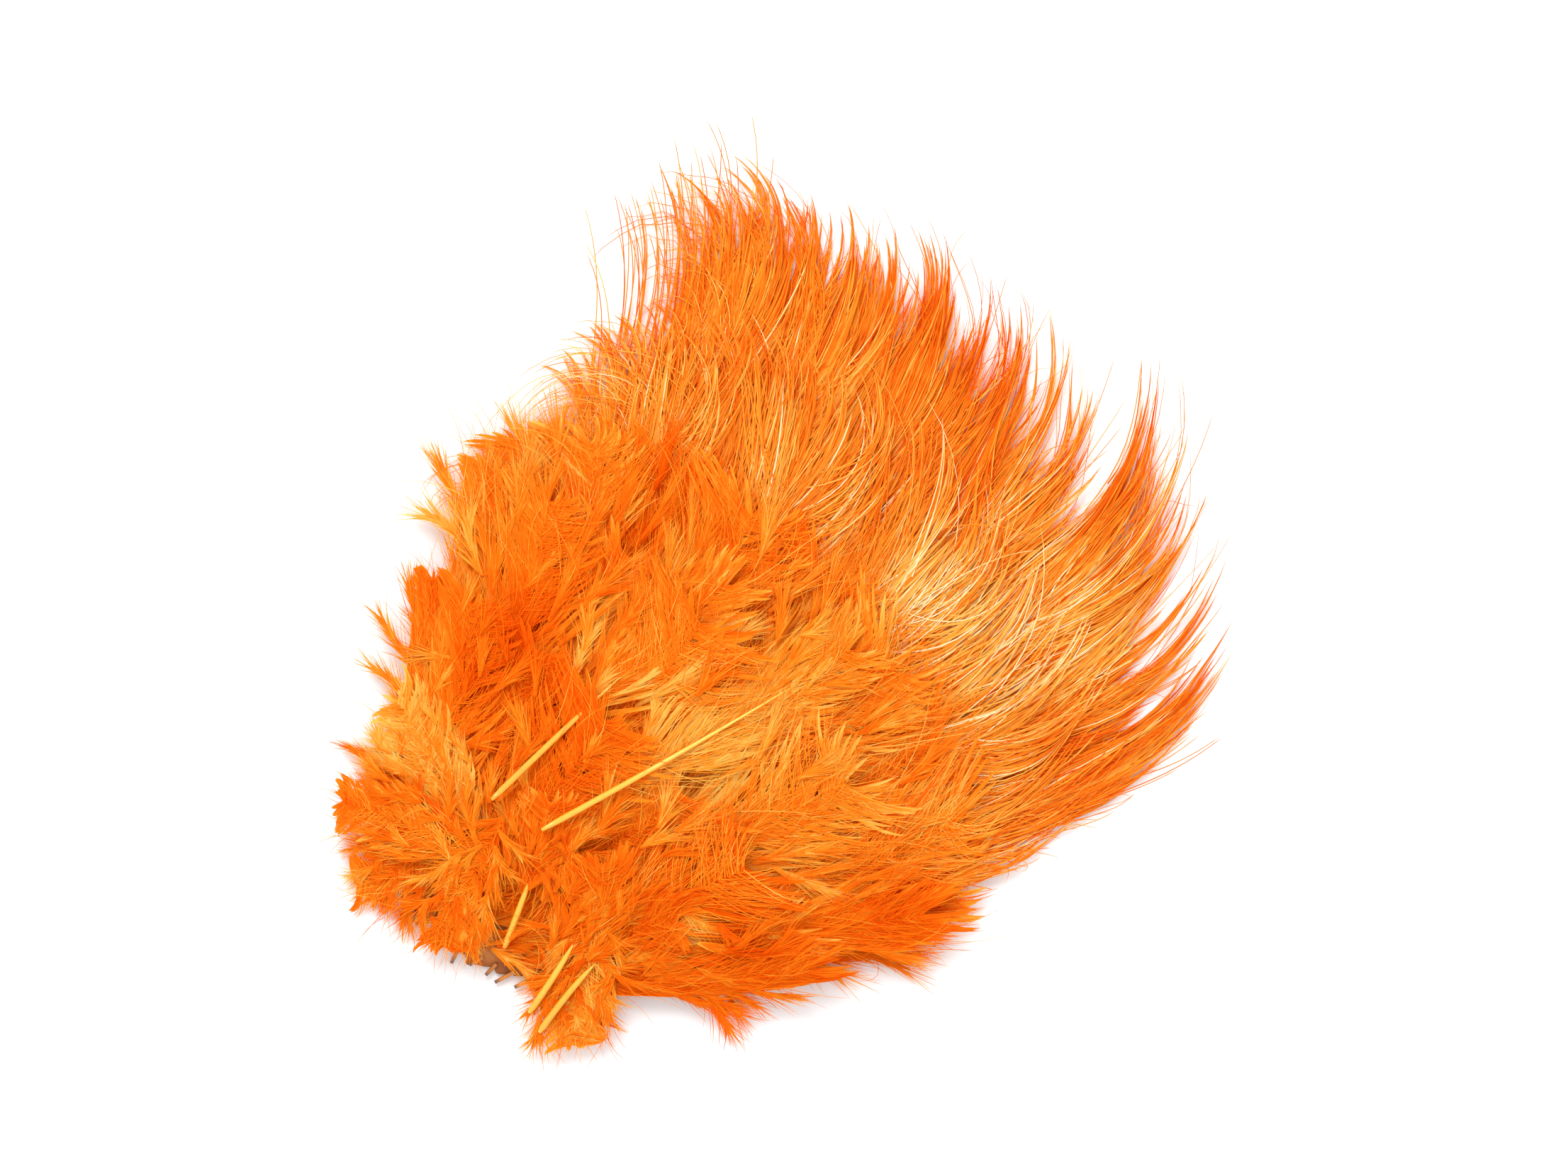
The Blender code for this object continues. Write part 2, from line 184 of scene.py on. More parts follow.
HAIR_STOPS = (
    (0.0, (0.40, 0.022, 0.0005)), (0.25, (0.80, 0.075, 0.001)),
    (0.5, (0.96, 0.210, 0.006)), (0.72, (0.99, 0.380, 0.035)),
    (0.88, (1.00, 0.600, 0.130)), (1.0, (1.00, 0.880, 0.520)),
)
DOWN_STOPS = (
    (0.0, (0.45, 0.030, 0.0005)), (0.25, (0.82, 0.075, 0.001)),
    (0.5, (0.96, 0.165, 0.004)), (0.7, (0.99, 0.270, 0.010)),
    (0.85, (1.00, 0.430, 0.035)), (1.0, (1.00, 0.640, 0.130)),
)
QUILL_STOPS = (
    (0.0, (0.10, 0.03, 0.01)), (0.4, (0.70, 0.24, 0.02)),
    (0.7, (1.00, 0.40, 0.012)), (0.88, (1.00, 0.56, 0.05)),
    (1.0, (1.00, 0.76, 0.24)),
)
SKIN_STOPS = (
    (0.0, (0.12, 0.035, 0.008)), (0.4, (0.42, 0.12, 0.015)),
    (0.7, (0.66, 0.27, 0.06)), (1.0, (0.82, 0.50, 0.22)),
)

# Barbs of every kind.
WIDTHS_VARY = (0.75, 1.25)
SOFT_HAIR, SOFT_DOWN = 0.5, 0.8
REST_HEIGHTS = (0.15, 0.6)  # where barbs that reach the surface come to rest
LOWEST = 0.02  # no point lies lower
FREE_FROM, FREE_OVER = 0.7, 0.35  # s from which barbs leave their layer
FIBRE_SCALE = (7.0, 0.25, 1.0)  # fibres drawn on a barb, per mm across and along
FIBRE_APART = 1.7  # mm between two barbs in the coordinates of these fibres

# Hair-like barbs. A feather has locks, a lock has strands, and a strand has barbs that end in one point.
HAIR_LOCKS, LOCK_STRANDS, STRAND_BARBS = 14, 7, 5
HAIR_WIDTH, HAIR_THINS, HAIR_STATIONS = 0.19, 0.4, 10
HAIR_ROLL, HAIR_TWIST = 0.35, 0.3
LOCK_SPAN, LOCK_JITTER = 0.95, 0.03
STRAND_SPREAD, BARB_SPREAD = 0.07, 0.14
LOCK_ENDS = (0.95, 1.2)
STRAND_SHORTER, BARB_SHORTER = 0.28, 0.06
HAIR_RUNS, HAIR_ROOTS, TO_TIPS = (0.34, 0.6), (0.05, 0.6), 0.68
JOIN_FROM, JOIN_OVER, JOINED = 0.5, 0.2, 0.97
TIP_CURL, CURL_FROM, CURL_OVER = 0.17, 0.7, 0.5
DRIFT_FROM, DRIFT_OVER = 0.45, 0.65
LOCK_DRIFT, STRAND_DRIFT = 0.22, 0.09
SWEEP, SWEEP_ENDS, SWEEP_OVER = 1.1, 0.9, 0.6
WAVE, WAVE_RATE, WAVE_TURN, WAVE_KINDS = 0.03, 6, 6.3, 7
LOCK_LEVELS, STRAND_LEVEL, BARB_LEVEL = (0.1, 0.85), 0.15, 0.08
LOCK_LIFTS, STRAND_LIFT = (-2.5, 1.5), 0.5

# Towards the sides of the fan the strands thin out: more of them end early, and they drift further.
THINNING, THINNING_FROM, THINNING_OVER = 0.28, 0.4, 0.4
THIN_LOCK_DRIFT, THIN_STRAND_DRIFT = 4, 5

# The fringe's ends gather between these places across the fan. Hairs near one are drawn towards
# their clump's middle and end sooner.
CLUMP_EDGES = (
    -1.25, -1.13, -1.02, -0.88, -0.79, -0.66, -0.57, -0.44, -0.34, -0.2, -0.11, 0.01,
    0.09, 0.19, 0.34, 0.43, 0.56, 0.64, 0.77, 0.85, 0.98, 1.08, 1.25,
)
CLUMP_PULL, CLUMP_DIP = 0.78, 0.18
PULL_FROM, PULL_OVER = 0.58, 0.45

# Single long hairs, more of them at the sides, where they flare out.
WISPS, LONG_STRAYS = 22, {"back_down_feather": 70, "mid_down_feather": 20}
WISP_WIDTH, WISP_THINS, WISP_STATIONS = 0.14, 0.5, 14
WISP_ENDS, WISP_EARLIER = (0.95, 1.2), 0.45
WISP_ROOTS, WISP_SHORTEST = (0.3, 0.6), 0.25
WISP_DRIFT, WISP_LEVELS, WISP_LIFTS = (-0.1, 0.5), (0.5, 1.0), (-2.0, 2.0)
# Wisps and sprays take their tone as at this level, for zones and for the painted depth shade.
WISP_TONE_LEVEL = 0.7
FLARES = ((1, 1.2, 0.5, 0.4), (-1, 2.4, 0.3, 0.5))  # side, most, start and range
FLARE_IN_DOWN = 0.5

# Hairs that leave the sides of the fan. low and high are the ends of the line that their roots lie on.
Spray = namedtuple("Spray", "low high heading bend lengths count")
SPRAYS = {
    "fringe_feather_01": Spray((-39, 73), (-34, 93), 121, 34, (19, 28), 64),
    "fringe_feather_14": Spray((45, 62), (49, 80), 64, 30, (18, 26), 34),
}
SPRAY_DARKER = 0.08
SPRAY_SCATTER, SPRAY_TURN, SPRAY_BENDS = 1.2, 4, (0.5, 1.4)
SPRAY_LEVEL, SPRAY_END_HEIGHTS = 0.8, (0.6, 3.5)

# How a downy feather is filled: broad barbs under a coat of fine ones, in order along its shaft, then
# plumes of finer barbs over them, of which every few carry barbules or a web, and single strays.
Down = namedtuple("Down", "fill coat plumes barbs longest barb opens mess curl forward last strays")
DOWN = {
    "back_down_feather": Down(150, 380, 18, 60, 20, 10, (0.1, 0.32), 0.16, 0.3, 0.85, 0.82, 64),
    "mid_down_feather": Down(150, 380, 18, 60, 17, 9, (0.12, 0.36), 0.24, 0.4, 0.85, 0.82, 64),
    "front_down_feather": Down(150, 340, 24, 52, 11, 7, (0.15, 0.45), 0.45, 0.55, 1.3, 0.78, 60),
    "front_tuft": Down(110, 240, 26, 44, 7, 5, (0.2, 0.55), 0.5, 0.7, 0.9, 0.66, 50),
    "top_feather": Down(130, 300, 18, 52, 12, 7, (0.1, 0.35), 0.22, 0.35, 0.85, 0.8, 30),
}
DOWN_WIDTHS = (0.9, 0.15, 0.13, 0.09)  # of the fill, the coat, plumes and strays
DOWN_THINS, DOWN_ROLL, DOWN_STATIONS, STRAY_STATIONS = 0.75, 0.3, 6, 8
FILL_LEVELS, COAT_LEVELS = (0.55, 0.7), (0.68, 0.85)
VANE_SPREAD, VANE_RUNS, VANE_CLOSES = (0.15, 1.1), (0.2, 0.42), (0.35, 0.25)
PLUME_SPAN, PLUME_SPLAY, PLUME_STEM, PLUME_CURL = 0.95, (0.8, 2.6), 0.8, 0.2
PLUME_SHORTEST, PLUME_LENGTHS = 0.3, (0.6, 1)
PLUME_OUTWARD, PLUME_NARROWS = 0.3, (0.4, 0.35)
PLUME_LEAVES, PLUME_BARBS_VARY, PLUME_UNRULY = (0.1, 1.1), (0.6, 1.15), 0.14
PLUME_LEVELS, PLUME_BARB_LEVEL, PLUME_BARB_LIFT = (0.75, 0.95), 0.03, 0.08
PLUME_ARCH, PLUME_DROOP, DROOP_FROM, DROOP_OVER = 0.3, 0.7, 0.4, 0.6
STRAY_ROOTS, STRAY_TURN, STRAY_CURL, STRAY_ARCH = (0.1, 0.85), 0.35, (0.2, 0.5), 0.5
FRONT_DROOP_FROM, FRONT_DROOP_OVER = 1, 7
WITH_BARBULES, WITH_WEB = 15, 3
WEB_BELOW, WEB_STATIONS, WEB_WIDTH, WEB_DARKER = 0.08, 4, 0.55, 0.02
BARBULE_SPACING, BARBULE_LENGTH, BARBULE_WIDTH = 0.24, 1.2, 0.035
BARBULE_LEAN, BARBULES_VARY, BARBULES_PALER = (0.2, 0.55), (0.6, 1.2), 0.05
BARB_ROLL, BARBULE_ROLL = 0.6, 0.5

# The hide's surface.
SKIN_ACROSS, SKIN_ALONG = 80, 96
FOLLICLE_STEP, FOLLICLE_RADIUS = 4.2, 0.7
SKIN_INSET = 0.9
RIM_ACROSS, RIM_ALONG = 12, 14
# Cut quills that stick out of the hide's front edge.
STUBS = (-7.5, -4.5, -1.5, 1.0, 3.2, 5.1, 6.8, 8.9, 11.5, 14.0)
STUB_RADIUS, STUB_LENGTH, STUB_TURN = 0.32, 3.4, 0.35
STUB_RISES, STUB_CUTS, STUB_TONES = (-0.1, 0.25), (0.6, 1), (0.25, 0.6)
STUB_PROFILE = np.array([1, 1, 0.95, 0.85])

# The photo's frame: its centre in the fan, and its width at PHOTO_LEVEL over the floor.
PHOTO_CENTRE = np.array([0, 70])
PHOTO_WIDTH = 221.2
CAMERA_DISTANCE, PHOTO_LEVEL = 800, 8
CAMERA_TURN = math.radians(45)
SENSOR = 36
SKY_STRENGTH = 1.08


def smooth(t):
    t = np.clip(t, 0, 1)
    return t * t * (3 - 2 * t)


def half_width(share):
    opened = smooth((share - OPENS_FROM) / OPENS_OVER)
    at_fringe = np.maximum(0, (share - FRINGE_FROM) / (1 - FRINGE_FROM))
    return HALF_FRONT + (HALF_BODY - HALF_FRONT) * opened + (HALF_FRINGE - HALF_BODY) * at_fringe


def middle(share):
    return LEAN * smooth(share / LEAN_OVER)


def loft(x, y):
    share = y / FAN_LENGTH
    across = np.minimum(WIDEST, abs(x - middle(share)) / half_width(share))
    to_tips = smooth((share - TIP_THIN_FROM) / (1 - TIP_THIN_FROM))
    return (1 - SIDE_THIN * across**2) * (1 - TIP_THIN * to_tips)


def layer_thickness(layer, x, y, fall_over=FALL_OVER):
    thickness, base, droop, end, drop = LAYERS[layer]
    out = (x / HALF_BODY) ** 2
    rise = smooth(((y + droop * out) / FAN_LENGTH - base) / RISE_OVER + RISE_BEFORE)
    fall = smooth(((y + drop * out) / FAN_LENGTH - end - FALL_AFTER) / fall_over)
    return loft(x, y) * thickness * (THINNEST + (1 - THINNEST) * rise * (1 - fall))


def underside(layer, x, y):
    share = y / FAN_LENGTH
    past_side = smooth((abs(x - middle(share)) - max(HIDE_HALF_WIDTHS)) / SAG_OVER)
    past_back = smooth((y - SAG_FROM * FAN_LENGTH) / SAG_OVER)
    on_hide = (1 - past_back) * (1 - past_side)
    lift = TIP_LIFT * smooth((share - LIFT_FROM) / LIFT_OVER)
    fall_over = TOP_FALL_OVER if layer == TOP_LAYER else FALL_OVER
    piled = sum(layer_thickness(lower, x, y, fall_over) for lower in range(layer))
    return (HIDE_THICKNESS + HIDE_CLEARANCE) * on_hide + lift + piled


def height(layer, xy, level):
    x, y = xy[..., 0], xy[..., 1]
    return underside(layer, x, y) + level * layer_thickness(layer, x, y)


def unit(vectors):
    return vectors / np.maximum(np.linalg.norm(vectors, axis=-1, keepdims=True), 1e-9)


def pairs(x, y):
    return np.stack(np.broadcast_arrays(x, y), axis=-1)


def heading(angle):
    return pairs(np.cos(angle), np.sin(angle))


def bent(start, end, bow, s, bend_at=BEND_AT):
    along = end - start
    right = unit(pairs(along[..., 1], -along[..., 0]))
    control = start + np.asarray(bend_at)[..., None] * along + right * np.asarray(bow)[..., None]
    s = np.asarray(s)[..., None]
    return (1 - s) ** 2 * start + 2 * s * (1 - s) * control + s * s * end


def row_curve(row, across, s):
    base_x = middle(row.base) + across * BASE_SPREAD * half_width(row.base)
    base = pairs(base_x, FAN_LENGTH * row.base + BASE_RISE * across**2)
    angle = across * HALF_SWING
    tip_share = row.tip - row.drop * (1 - np.cos(angle)) / FAN_LENGTH
    tip = pairs(middle(tip_share) + np.sin(angle) * half_width(tip_share), FAN_LENGTH * tip_share)
    return bent(base, tip, row.bow * (1 + BOW_MORE * across), s, BEND_AT - BEND_SOONER * across)


def clump_phase(across):
    """How far a place is through its clump, as an angle, and the clump's width."""
    number = np.interp(across, CLUMP_EDGES, np.arange(len(CLUMP_EDGES)))
    width = np.diff(CLUMP_EDGES)[np.clip(number.astype(int), 0, len(CLUMP_EDGES) - 2)]
    return 2 * math.pi * number, width


BARBS, SHAFTS = 0, 1  # material slots. The hide's skin takes the slot of barbs.

# The fan's own coordinates against the frame's.
ORIGIN = np.array(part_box("hide")[0][:2]) / MM
ORIGIN = ORIGIN - np.array([middle(HIDE_WIDEST) - max(HIDE_HALF_WIDTHS), HIDE_FRONT])


def facing_up(points, faces):
    """The same triangles, each with its front upwards."""
    a, b, c = (points[faces[:, k], :2] for k in range(3))
    turned = (b - a)[:, 0] * (c - a)[:, 1] < (b - a)[:, 1] * (c - a)[:, 0]
    return np.where(turned[:, None], faces[:, [0, 2, 1]], faces)


def in_scene(name, data):
    made = bpy.data.objects.new(name, data)
    bpy.context.scene.collection.objects.link(made)
    return made


class Gathered:
    """Triangles on their way into one mesh, each corner with its tone.

    Barbs are softened: their normals lean towards straight up by this share, as light that is scattered
    between many barbs falls on them evenly. sunk is how far the piece lies in the down below it, in mm,
    and hollow how much further it sags between two rows of down.
    """

    def __init__(self, softness, sunk=0.0, hollow=0.0):
        self.softness, self.sunk, self.hollow = softness, sunk, hollow
        self.parts, self.count = [], 0

    def add(self, points, faces, tones, slot, fibres=None):
        fibres = points if fibres is None else fibres
        soft = np.full(len(points), self.softness if slot == BARBS else 0.0)
        self.parts.append((points, faces + self.count, tones, np.full(len(faces), slot), soft, fibres))
        self.count += len(points)

    def build(self, name, materials):
        points, faces, tones, slots, soft, fibres = map(np.concatenate, zip(*self.parts))
        sag = self.hollow * np.exp(-(((points[:, 1] - HOLLOW_AT) / HOLLOW_OVER) ** 2))
        points[:, 2] = np.maximum(points[:, 2] - self.sunk - sag, LOWEST)
        points[:, :2] += ORIGIN
        if self.softness:
            faces[slots == BARBS] = facing_up(points, faces[slots == BARBS])
        data = bpy.data.meshes.new(name)
        data.vertices.add(len(points))
        data.vertices.foreach_set("co", (points * MM).astype(np.float32).ravel())
        data.loops.add(3 * len(faces))
        data.loops.foreach_set("vertex_index", faces.astype(np.int32).ravel())
        data.polygons.add(len(faces))
        data.polygons.foreach_set("loop_start", np.arange(0, 3 * len(faces), 3, dtype=np.int32))
        for material in materials:
            data.materials.append(material)
        data.polygons.foreach_set("material_index", slots.astype(np.int32))
        tone = data.attributes.new("tone", "FLOAT", "POINT")
        tone.data.foreach_set("value", tones.astype(np.float32))
        fibre = data.attributes.new("fibre", "FLOAT_VECTOR", "POINT")
        fibre.data.foreach_set("vector", fibres.astype(np.float32).ravel())
        data.update(calc_edges=True)
        data.shade_smooth()
        if soft.any():
            soft = soft[:, None]
            normals = np.empty(3 * len(points), np.float32)
            data.vertex_normals.foreach_get("vector", normals)
            leaning = unit((1 - soft) * normals.reshape(-1, 3) + soft * np.array([0.0, 0.0, 1.0]))
            data.normals_split_custom_set_from_vertices(leaning)
        return in_scene(name, data)


def hand_over(gathered, name, material, node):
    made = gathered.build(name, (material, quill))
    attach(made, "root")
    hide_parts(node)


def frames(paths):
    """Along, level sideways and upwards at each station of each path."""
    along = np.empty_like(paths)
    along[:, 1:-1] = paths[:, 2:] - paths[:, :-2]
    along[:, 0] = paths[:, 1] - paths[:, 0]
    along[:, -1] = paths[:, -1] - paths[:, -2]
    along = unit(along)
    sideways = unit(np.cross(along, [0.0, 0.0, 1.0]))
    return along, sideways, np.cross(sideways, along)


def add_ribbons(gathered, paths, widths, rolls, tones):
    """A flat tapering ribbon along each path. rolls turns it about its own length, in radians."""
    count, stations = paths.shape[:2]
    _, sideways, upwards = frames(paths)
    across = sideways * np.cos(rolls)[..., None] + upwards * np.sin(rolls)[..., None]
    half = across * widths[..., None] / 2
    points = np.stack([paths - half, paths + half], axis=2).reshape(count, 2 * stations, 3)[:, :-1]
    points[:, -1] = paths[:, -1]
    j = 2 * np.arange(stations - 2)
    quads = np.concatenate([np.stack([j, j + 1, j + 3], 1), np.stack([j, j + 3, j + 2], 1)])
    one = np.concatenate([quads, [[2 * stations - 4, 2 * stations - 3, 2 * stations - 2]]])
    faces = (one[None] + (2 * stations - 1) * np.arange(count)[:, None, None]).reshape(-1, 3)
    each = np.repeat(tones, 2, axis=1)[:, :-1]
    steps = np.linalg.norm(np.diff(paths, axis=1), axis=2)
    run = np.concatenate([np.zeros((count, 1)), np.cumsum(steps, axis=1)], axis=1)
    sides = np.stack([-widths / 2, widths / 2], axis=2).reshape(count, -1)[:, :-1]
    own = FIBRE_APART * (gathered.count + np.arange(count)[:, None])
    fibres = np.stack([sides + own, np.repeat(run, 2, axis=1)[:, :-1], 0 * sides], axis=2)
    gathered.add(points.reshape(-1, 3), faces, each.ravel(), BARBS, fibres.reshape(-1, 3))


def add_barbules(gathered, paths, tones, rng):
    """Fine side branches along each path, every one a sliver that ends in a point."""
    count, stations = paths.shape[:2]
    steps = np.linalg.norm(np.diff(paths, axis=1), axis=2)
    each = max(4, int(steps.sum(1).mean() / BARBULE_SPACING))
    t = (np.arange(each) + rng.uniform(0.1, 0.9, (count, each))) / each
    at = t * (stations - 1)
    low = np.minimum(at.astype(int), stations - 2)
    part = (at - low)[..., None]
    rows = np.arange(count)[:, None]
    along, sideways, upwards = frames(paths)
    root = paths[rows, low] * (1 - part) + paths[rows, low + 1] * part
    along = unit(along[rows, low] * (1 - part) + along[rows, low + 1] * part)
    sideways, upwards = sideways[rows, low], upwards[rows, low]
    hand = np.where(np.arange(each) % 2, 1.0, -1.0)[None, :, None]
    roll = rng.normal(0, BARB_ROLL, (count, 1)) + rng.normal(0, BARBULE_ROLL, (count, each))
    out = hand * (sideways * np.cos(roll)[..., None] + upwards * np.sin(roll)[..., None])
    lean = rng.uniform(*BARBULE_LEAN, (count, each))[..., None]
    taper = (0.4 + 0.6 * smooth(t / 0.15)) * (1 - 0.5 * smooth((t - 0.5) / 0.5))
    reach = BARBULE_LENGTH * rng.uniform(*BARBULES_VARY, (count, each)) * taper
    tip = root + (along * np.cos(lean) + out * np.sin(lean)) * reach[..., None]
    half = hand * along * BARBULE_WIDTH / 2 / np.sin(lean)
    points = np.stack([root + half, root - half, tip], axis=2).reshape(-1, 3)
    faces = np.arange(3 * count * each).reshape(-1, 3)
    tone = tones[rows, low]
    tone = np.stack([tone, tone, tone + BARBULES_PALER], axis=2)
    gathered.add(points, faces, tone.ravel(), BARBS)


def add_tube(gathered, path, radii, tones, painted_highlight=0.0):
    """A round shaft along a path, closed at both ends. The last argument lightens the tone of its upper side,
    a painted highlight.
    """
    _, sideways, upwards = frames(path[None])
    angle = 2 * math.pi * np.arange(TUBE_SIDES) / TUBE_SIDES
    ring = sideways[0][:, None] * np.cos(angle)[None, :, None]
    ring = ring + upwards[0][:, None] * np.sin(angle)[None, :, None]
    points = (path[:, None] + ring * radii[:, None, None]).reshape(-1, 3)
    i = np.arange(TUBE_SIDES)
    after = (i + 1) % TUBE_SIDES
    faces = []
    for j in range(len(path) - 1):
        here, there = j * TUBE_SIDES, (j + 1) * TUBE_SIDES
        faces.append(np.stack([here + i, here + after, there + after], 1))
        faces.append(np.stack([here + i, there + after, there + i], 1))
    for end, start in enumerate((0, (len(path) - 1) * TUBE_SIDES)):
        centre = np.full(TUBE_SIDES, len(points) + end)
        faces.append(np.stack([centre, start + i, start + after], 1))
    points = np.concatenate([points, path[[0, -1]]])
    # Painted highlight: the upper side of the tube is drawn paler.
    around = (tones[:, None] + painted_highlight * np.maximum(0, np.sin(angle))[None]).ravel()
    gathered.add(points, np.concatenate(faces), np.concatenate([around, tones[[0, -1]]]), SHAFTS)


def opening(t, rate=2.6):
    """From 0 to 1, fast at first: how a barb swings out from its shaft and then runs on beside it."""
    return (1 - np.exp(-rate * t)) / (1 - math.exp(-rate))


def free(s):
    """How far a barb is free of its layer, from 0 to 1."""
    return smooth((s - FREE_FROM) / FREE_OVER)


def walked(start, angle, run):
    """Level paths of these lengths that turn to each of these headings in turn."""
    count, stations = angle.shape
    step = heading((angle[:, 1:] + angle[:, :-1]) / 2) * (run / (stations - 1))[:, None, None]
    return start[:, None] + np.concatenate([np.zeros((count, 1, 2)), np.cumsum(step, axis=1)], axis=1)


def off_floor(xy, z, rng):
    """Paths at these heights. Barbs that would sink into the surface come to rest on it."""
    rest = rng.uniform(*REST_HEIGHTS, (len(xy), 1))
    return np.concatenate([xy, np.maximum(z, rest)[..., None]], axis=2)


def hair_paths(place, layer, reach, rng, thinning, sweep):
    """Barbs of a hair-like vane: they leave the shaft, run on almost beside it, gather into strands that
    end in points, and the strands into locks.

    reach(across) gives the length at which a lock there ends, and thinning is how much sooner most of its
    strands end. Returns the paths, the parts of each barb's length at its stations, its level in the layer
    and its lock's number.
    """
    strands = HAIR_LOCKS * LOCK_STRANDS
    of_lock = np.repeat(np.arange(HAIR_LOCKS), LOCK_STRANDS)
    strand = np.repeat(np.arange(strands), STRAND_BARBS)
    lock = of_lock[strand]
    count = len(strand)
    places = np.linspace(-LOCK_SPAN, LOCK_SPAN, HAIR_LOCKS) + rng.normal(0, LOCK_JITTER, HAIR_LOCKS)
    lock_end = reach(places) * rng.uniform(*LOCK_ENDS, HAIR_LOCKS)
    lock_drift = rng.normal(0, LOCK_DRIFT * (1 + THIN_LOCK_DRIFT * thinning), HAIR_LOCKS)
    centre = (places[of_lock] + rng.normal(0, STRAND_SPREAD, strands))[strand]
    strand_drift = rng.normal(0, STRAND_DRIFT * (1 + THIN_STRAND_DRIFT * thinning), strands)
    drift = (lock_drift[of_lock] + strand_drift)[strand]
    shorter = (STRAND_SHORTER + thinning) * rng.uniform(0, 1, strands)
    strand_end = (lock_end[of_lock] * (1 - shorter))[strand]
    end = strand_end * (1 - BARB_SHORTER * rng.uniform(0, 1, count))
    run = rng.uniform(*HAIR_RUNS, count)
    to_tip = rng.uniform(0, 1, count) < TO_TIPS
    start = np.where(to_tip, np.maximum(end - run, HAIR_ROOTS[0]), rng.uniform(*HAIR_ROOTS, count))
    stop = np.minimum(start + run, end)
    t = np.linspace(0, 1, HAIR_STATIONS)[None]
    s = start[:, None] + (stop - start)[:, None] * t
    widest = (centre + rng.normal(0, BARB_SPREAD, count))[:, None]
    across = widest * opening(t)
    joined = smooth((s - JOIN_FROM) / np.maximum(strand_end[:, None] - JOIN_FROM, JOIN_OVER)) ** 0.8
    across = across + (centre[:, None] - across) * (JOINED * joined)
    curl = TIP_CURL * (1 - thinning) * smooth((s - CURL_FROM) / CURL_OVER) ** 2
    across = across + drift[:, None] * smooth((s - DRIFT_FROM) / DRIFT_OVER) ** 1.5 - curl
    wave = WAVE * np.sin(WAVE_RATE * s + WAVE_TURN * (strand[:, None] % WAVE_KINDS) / WAVE_KINDS)
    across = across + wave - sweep * (1 - smooth(s / SWEEP_ENDS))
    xy = place(across, s)
    of_strand = rng.uniform(*LOCK_LEVELS, HAIR_LOCKS)[of_lock] + rng.normal(0, STRAND_LEVEL, strands)
    level = np.clip(of_strand[strand][:, None] + rng.normal(0, BARB_LEVEL, (count, 1)), 0, 1)
    z = height(layer, xy, level)
    lift = rng.uniform(*LOCK_LIFTS, HAIR_LOCKS)[lock] + rng.normal(0, STRAND_LIFT, strands)[strand]
    return off_floor(xy, z + free(s) * lift[:, None], rng), t, level, lock


def wisp_paths(place, layer, reach, rng, count, flare):
    """Single long hairs that stray from the locks and end beyond them.

    At the sides of the fan they flare out by so many of the feather's half widths, and some end early.
    """
    across_end = rng.uniform(-1, 1, count)
    early = 1 - rng.uniform(0, WISP_EARLIER, count) * min(1, abs(flare))
    end = reach(across_end) * rng.uniform(*WISP_ENDS, count) * early
    start = np.minimum(rng.uniform(*WISP_ROOTS, count), end - WISP_SHORTEST)
    t = np.linspace(0, 1, WISP_STATIONS)[None]
    s = start[:, None] + (end - start)[:, None] * t
    across = across_end[:, None] * opening(t)
    across = across + (rng.normal(*WISP_DRIFT, (count, 1)) + flare * rng.uniform(0, 1, (count, 1))) * t**2.5
    xy = place(across, s)
    z = height(layer, xy, rng.uniform(*WISP_LEVELS, (count, 1)))
    z = z + free(s) * rng.uniform(*WISP_LIFTS, (count, 1))
    return off_floor(xy, z, rng), t, WISP_TONE_LEVEL + 0 * t, np.arange(count)


def spray_paths(layer, spray, rng):
    """Long curved hairs that leave one side of the fan in order, with room between them."""
    count = spray.count
    part = (np.arange(count) + rng.uniform(0, 1, count)) / count
    root = np.array(spray.low) + (np.array(spray.high) - spray.low) * part[:, None]
    root = root + rng.normal(0, SPRAY_SCATTER, (count, 2))
    t = np.linspace(0, 1, WISP_STATIONS)[None]
    first = np.radians(spray.heading + rng.normal(0, SPRAY_TURN, (count, 1)))
    angle = first + np.radians(spray.bend * rng.uniform(*SPRAY_BENDS, (count, 1))) * t**1.6
    xy = walked(root, angle, rng.uniform(*spray.lengths, count))
    z_root = height(layer, root, SPRAY_LEVEL)[:, None]
    z = z_root + (rng.uniform(*SPRAY_END_HEIGHTS, (count, 1)) - z_root) * t
    return off_floor(xy, z, rng), t, WISP_TONE_LEVEL + 0 * t, np.arange(count)


def droop_at_front(xy):
    """Down that passes the front edge of the hide hangs down over it."""
    return -HIDE_THICKNESS * smooth((FRONT_DROOP_FROM - xy[..., 1]) / FRONT_DROOP_OVER)


def vane_paths(place, layer, rng, count, bare, levels):
    """Downy barbs in order along a feather's shaft, to both sides, curving towards its tip."""
    part = rng.uniform(0, 1, count) ** 0.9
    hand = np.where(rng.uniform(0, 1, count) < 0.5, 1.0, -1.0)
    spread = hand * rng.uniform(*VANE_SPREAD, count)
    forward = rng.uniform(*VANE_RUNS, count) * (1 - VANE_CLOSES[0] * part)
    t = np.linspace(0, 1, DOWN_STATIONS)[None]
    s = (bare + (FLUFF_LAST - bare) * part)[:, None] + forward[:, None] * t
    xy = place(spread[:, None] * opening(t, 2.0) * (1 - VANE_CLOSES[1] * part)[:, None], s)
    level = rng.uniform(*levels, (count, 1)) + 0 * t
    z = height(layer, xy, level) + droop_at_front(xy)
    return off_floor(xy, z, rng), t, level, np.zeros(count, int)


